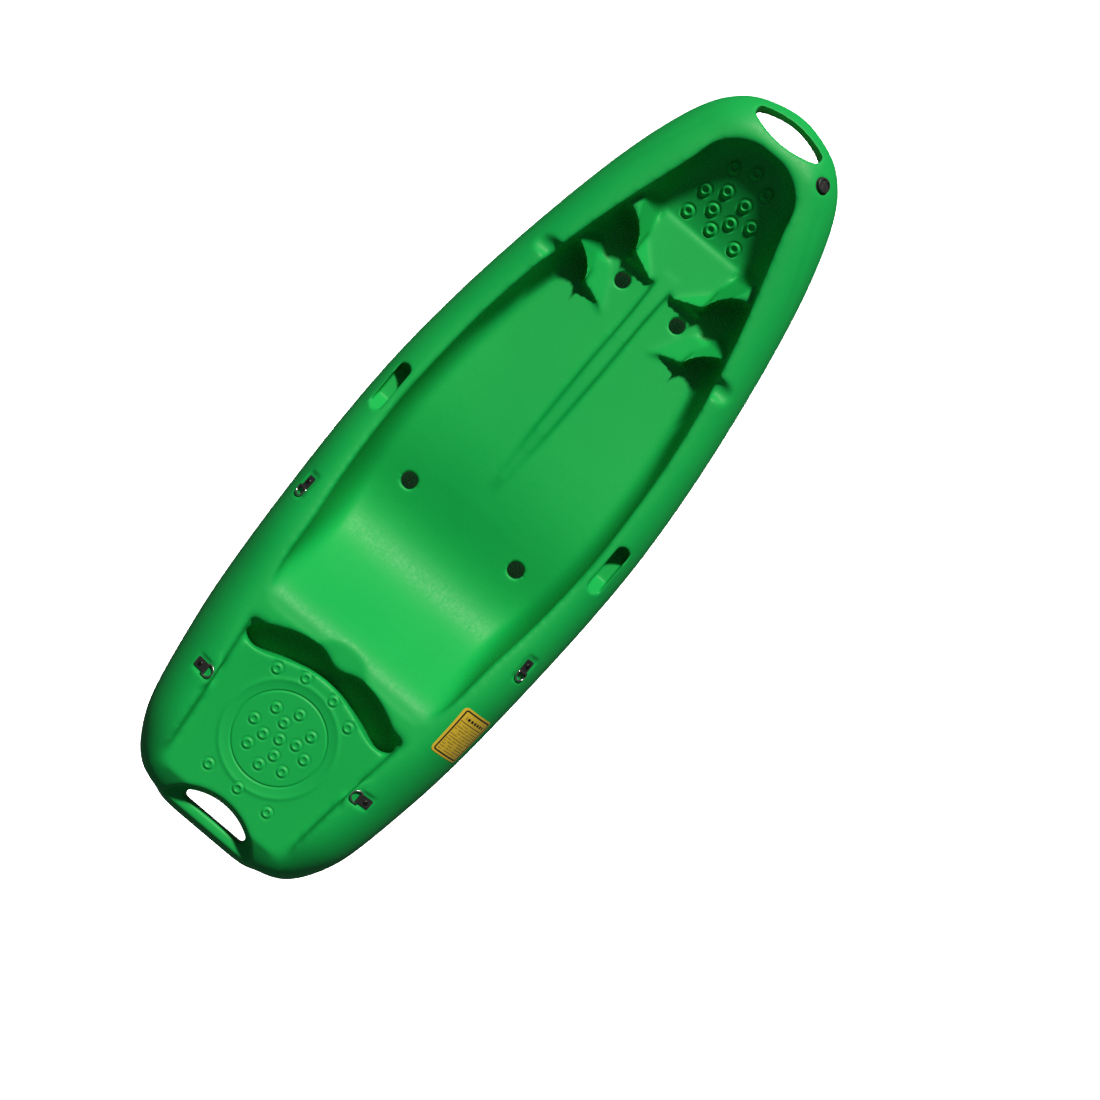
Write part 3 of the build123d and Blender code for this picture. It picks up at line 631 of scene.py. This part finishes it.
def black_plastic(name, rough):
    g = Graph(name)
    at = g.coords()
    grain = g.noise(at, scale=1400.0, detail=3.0)
    broad = g.noise(at, scale=90.0, detail=3.0)
    base = g.mix(broad, (0.010, 0.010, 0.011, 1), (0.028, 0.028, 0.029, 1))
    r = g.ramp(grain, 0.3, 0.7, rough - 0.08, rough + 0.1)
    return g.set(Base__Color=base, Roughness=r, Normal=g.bump(grain, 0.3, 0.0002))


def rubber():
    g = Graph("black_rubber")
    grain = g.noise(g.coords(), scale=1800.0, detail=2.0)
    base = g.mix(grain, (0.012, 0.012, 0.012, 1), (0.03, 0.03, 0.03, 1))
    return g.set(Base__Color=base, Roughness=0.8, Normal=g.bump(grain, 0.2, 0.0001))


def steel(name, colour, rough):
    """Bare metal with darker spots; brass and blackened screws use it too."""
    g = Graph(name)
    at = g.coords()
    grain = g.noise(at, scale=600.0, detail=4.0)
    spots = g.noise(at, scale=120.0, detail=3.0)
    dark = tuple(c * 0.55 for c in colour)
    base = g.mix(g.ramp(spots, 0.35, 0.7, 0, 0.6), (*colour, 1), (*dark, 1))
    r = g.ramp(grain, 0.3, 0.7, rough, rough + 0.16)
    return g.set(Base__Color=base, Metallic=1.0, Roughness=r, Normal=g.bump(grain, 0.08, 0.0001))


# The label's drawing, in metres: u runs along the boat and v down the shoulder.
LABEL_TILT = math.radians(50.0)
LABEL_HALF_U = 0.055
LABEL_HALF_V = 0.047
LABEL_CORNER = 0.010
BORDER_INSET = 0.0058
BORDER_HALF = 0.0017
INSIDE_INSET = -0.009
HEADER_FROM = 0.026
RULE_HALF = 0.0008
BODY_TO = 0.020
ROW_PITCH = 0.0062
ROW_SHARE = 0.34
BAR_PITCH = 0.0046
BAR_GAPS = 0.22
TITLE_AT = 0.0355
TITLE_HALF = 0.0030
TITLE_PITCH = 0.0105
TITLE_SHARE = 0.68
TITLE_REACH = 0.0315


def label_axes(g, at):
    """u and v, both from the label's middle."""
    lo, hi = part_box("safety_label")
    sep = g.node("ShaderNodeSeparateXYZ", Vector=at)
    cx, cy, cz = (lo.x + hi.x) / 2, (lo.y + hi.y) / 2, (lo.z + hi.z) / 2
    u = g.math("SUBTRACT", sep.outputs["X"], cx)
    yy = g.math("MULTIPLY", g.math("SUBTRACT", sep.outputs["Y"], cy), -math.cos(LABEL_TILT))
    zz = g.math("MULTIPLY", g.math("SUBTRACT", sep.outputs["Z"], cz), -math.sin(LABEL_TILT))
    return u, g.math("ADD", yy, zz)


def label_edge(g, u, v):
    """Distance from the label's rounded outline, negative inside it."""
    qx = g.math("SUBTRACT", g.math("ABSOLUTE", u), LABEL_HALF_U - LABEL_CORNER)
    qx = g.math("MAXIMUM", qx, 0.0)
    qy = g.math("SUBTRACT", g.math("ABSOLUTE", v), LABEL_HALF_V - LABEL_CORNER)
    qy = g.math("MAXIMUM", qy, 0.0)
    q = g.math("ADD", g.math("MULTIPLY", qx, qx), g.math("MULTIPLY", qy, qy))
    return g.math("SUBTRACT", g.math("SQRT", q), LABEL_CORNER)


def label_rows(g, u, v, inside):
    """Rows of short bars in the label's body, with gaps at random places."""
    across = g.math("MULTIPLY", u, 1 / ROW_PITCH)
    line = g.math("LESS_THAN", g.math("FRACT", across), ROW_SHARE)
    down = g.math("MULTIPLY", v, 1 / BAR_PITCH)
    cells = g.node("ShaderNodeCombineXYZ", X=g.math("FLOOR", across), Y=g.math("FLOOR", down))
    chance = g.node("ShaderNodeTexWhiteNoise", Vector=cells.outputs[0]).outputs["Value"]
    bar = g.math("GREATER_THAN", chance, BAR_GAPS)
    return g.all_of(line, bar, g.math("LESS_THAN", u, BODY_TO), inside)


def label_title(g, u, v):
    """Three heavy bars across the header band."""
    cell = g.math("FRACT", g.math("MULTIPLY", g.math("ADD", v, 0.1), 1 / TITLE_PITCH))
    bars = g.math("LESS_THAN", cell, TITLE_SHARE)
    header = g.math("GREATER_THAN", u, HEADER_FROM)
    return g.all_of(g.within(u, TITLE_AT, TITLE_HALF), bars, g.within(v, 0.0, TITLE_REACH), header)


def label_material():
    """Yellow label: border, header band and bars in place of its print."""
    g = Graph("label")
    at = g.coords()
    u, v = label_axes(g, at)
    edge = label_edge(g, u, v)
    border = g.within(edge, -BORDER_INSET, BORDER_HALF)
    inside = g.math("LESS_THAN", edge, INSIDE_INSET)
    rule = g.math("MULTIPLY", g.within(u, HEADER_FROM, RULE_HALF), inside)
    ink = g.math("MAXIMUM", border, rule)
    ink = g.math("MAXIMUM", ink, label_title(g, u, v))
    fibre = g.noise(at, scale=500.0, detail=3.0)
    fade = g.noise(at, scale=14.0, detail=2.0)
    yellow = g.mix(fade, (0.60, 0.40, 0.025, 1), (0.72, 0.50, 0.045, 1))
    rows = g.math("MULTIPLY", label_rows(g, u, v, inside), 0.62)
    base = g.mix(rows, yellow, (0.05, 0.035, 0.01, 1))
    base = g.mix(ink, base, (0.012, 0.011, 0.008, 1))
    rough = g.ramp(fibre, 0.3, 0.7, 0.28, 0.4)
    return g.set(Base__Color=base, Roughness=rough, Normal=g.bump(fibre, 0.05, 0.0002))


def dress(piece, mat):
    piece.data.materials.clear()
    piece.data.materials.append(mat)


dress(hull, green_plastic())
tab = black_plastic("black_tab", rough=0.42)
plug = black_plastic("black_plug", rough=0.38)
stainless = steel("stainless", (0.62, 0.62, 0.62), rough=0.16)
screw = steel("black_screw", (0.09, 0.085, 0.08), rough=0.32)
brass = steel("brass", (0.62, 0.45, 0.18), rough=0.3)
dress(NODES["safety_label"], label_material())
dress(NODES["drain_insert"], black_plastic("black_insert", rough=0.5))
dress(NODES["drain_gasket"], rubber())
dress(NODES["drain_plug"], plug)
for place in RING_PLACES:
    dress(NODES["ring_tab_" + place], tab)
    dress(NODES["d_ring_" + place], stainless)
    dress(NODES["ring_screw_" + place], screw)
    dress(NODES["ring_insert_" + place], brass)
